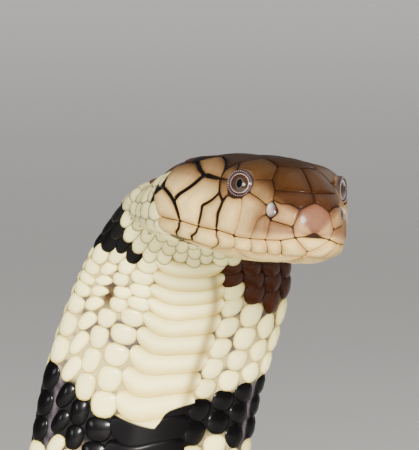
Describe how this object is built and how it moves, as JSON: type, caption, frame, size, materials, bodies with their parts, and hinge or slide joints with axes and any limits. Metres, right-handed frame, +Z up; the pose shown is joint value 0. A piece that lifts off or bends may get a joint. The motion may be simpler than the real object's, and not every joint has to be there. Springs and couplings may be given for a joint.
{
  "type": "banded water cobra model",
  "caption": "Life-size still model of a banded water snake with a raised, slightly spread hood and its body resting in a flat coil.",
  "frame": {"origin": "middle of the footprint, on the floor", "axes": "+Z up, the belly of the raised part faces -Y, +X is the side that the head is turned towards"},
  "size_m": [0.3232, 0.291, 0.2699],
  "materials": {
    "head_skin": "glossy head plates, copper brown on the crown and cream on the lips",
    "throat_skin": "cream scales with a soft sheen",
    "body_skin": "smooth brown scales with wide black bands",
    "eye": "wet brown eye with a round black pupil"
  },
  "bodies": {
    "root": {"head": "head_skin", "eye_right": "eye", "eye_left": "eye", "neck": "throat_skin", "hood": "throat_skin", "forebody_upper": "body_skin", "forebody_lower": "body_skin", "body_1": "body_skin", "body_2": "body_skin", "body_3": "body_skin", "body_4": "body_skin", "body_5": "body_skin", "body_6": "body_skin", "body_7": "body_skin", "body_8": "body_skin", "tail_base": "body_skin", "tail_tip": "body_skin"}
  },
  "joints": []
}
